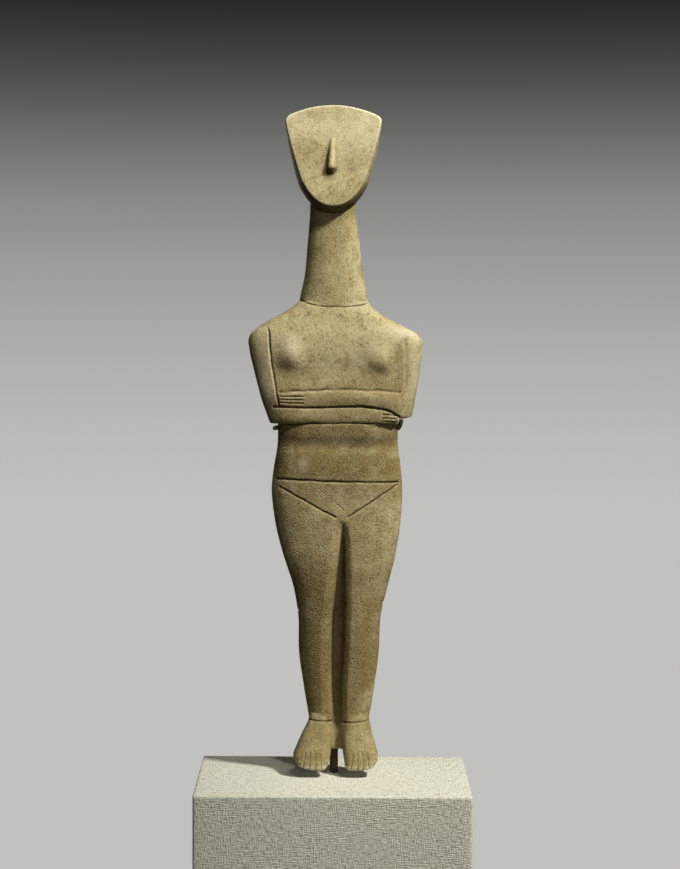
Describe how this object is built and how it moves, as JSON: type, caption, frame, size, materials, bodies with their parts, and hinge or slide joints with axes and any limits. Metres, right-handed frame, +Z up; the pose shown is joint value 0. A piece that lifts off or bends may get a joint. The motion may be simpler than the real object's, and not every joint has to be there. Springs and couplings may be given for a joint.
{
  "type": "cycladic figurine on a display mount",
  "caption": "Slender marble female figure with folded arms, long neck and tilted shield-shaped head, held upright by a metal rod and elbow cradle above a linen-covered block.",
  "frame": {"origin": "middle of the linen block's underside, where the object stands on a surface", "axes": "+Z up along the figure, the figure faces -Y, +X to the viewer's right when facing it"},
  "size_m": [0.257, 0.1554, 0.7359],
  "materials": {
    "weathered_marble": "matte",
    "mount_metal": "satin",
    "linen": "matte"
  },
  "bodies": {
    "root": {"figurine": "weathered_marble", "elbow_cradle": "mount_metal", "support_rod": "mount_metal", "linen_block": "linen"}
  },
  "joints": []
}
